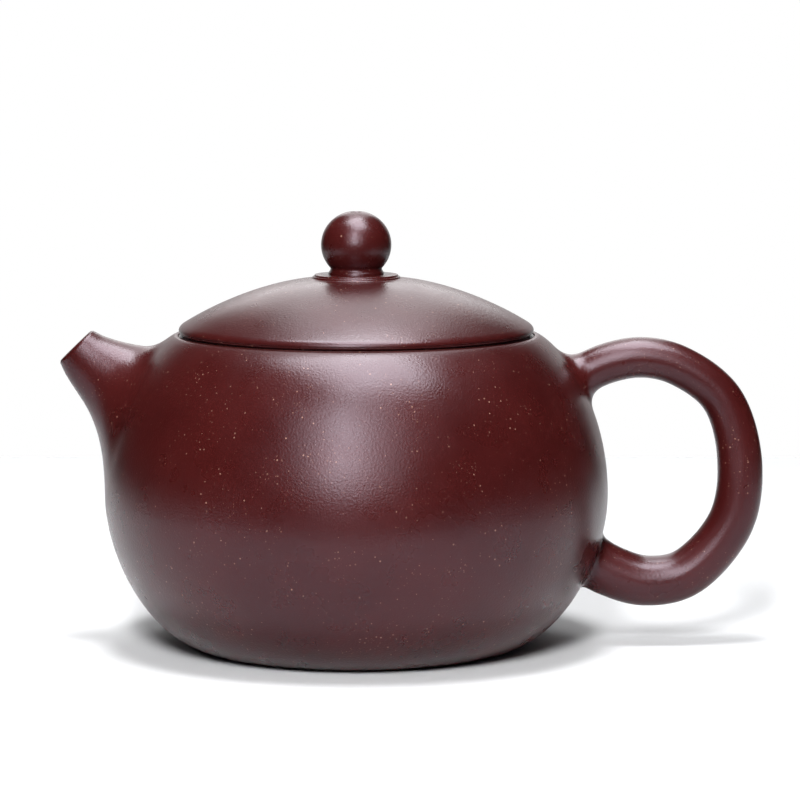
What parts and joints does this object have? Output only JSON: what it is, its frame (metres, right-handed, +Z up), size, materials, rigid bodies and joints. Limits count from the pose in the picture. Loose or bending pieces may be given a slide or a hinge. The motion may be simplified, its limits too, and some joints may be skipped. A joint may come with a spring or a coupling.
{
  "type": "yixing clay teapot",
  "caption": "Round unglazed clay teapot with a short spout, a full ear handle and a domed lid with a ball knob that lifts off.",
  "frame": {"origin": "on the pot's upright axis, at the plane that the foot ring stands on", "axes": "+Z up through the knob, +X towards the handle, -X towards the spout"},
  "size_m": [0.1354, 0.097, 0.0839],
  "materials": {
    "burnished_clay": "satin",
    "scraped_clay": "matte"
  },
  "bodies": {
    "pot": {"base_disc": "burnished_clay", "body_wall": "burnished_clay", "shoulder_disc": "burnished_clay", "mouth_ring": "scraped_clay", "spout": "burnished_clay", "strainer": "scraped_clay", "handle": "burnished_clay"},
    "lid": {"lid_dome": "burnished_clay", "lid_plate": "burnished_clay", "lid_flange": "scraped_clay", "knob_collar": "burnished_clay", "knob": "burnished_clay"}
  },
  "joints": [
    {"name": "lid_lift", "type": "slide", "parent": "pot", "child": "lid", "axis": [0, 0, 1], "range_m": [0, 0.08]}
  ]
}
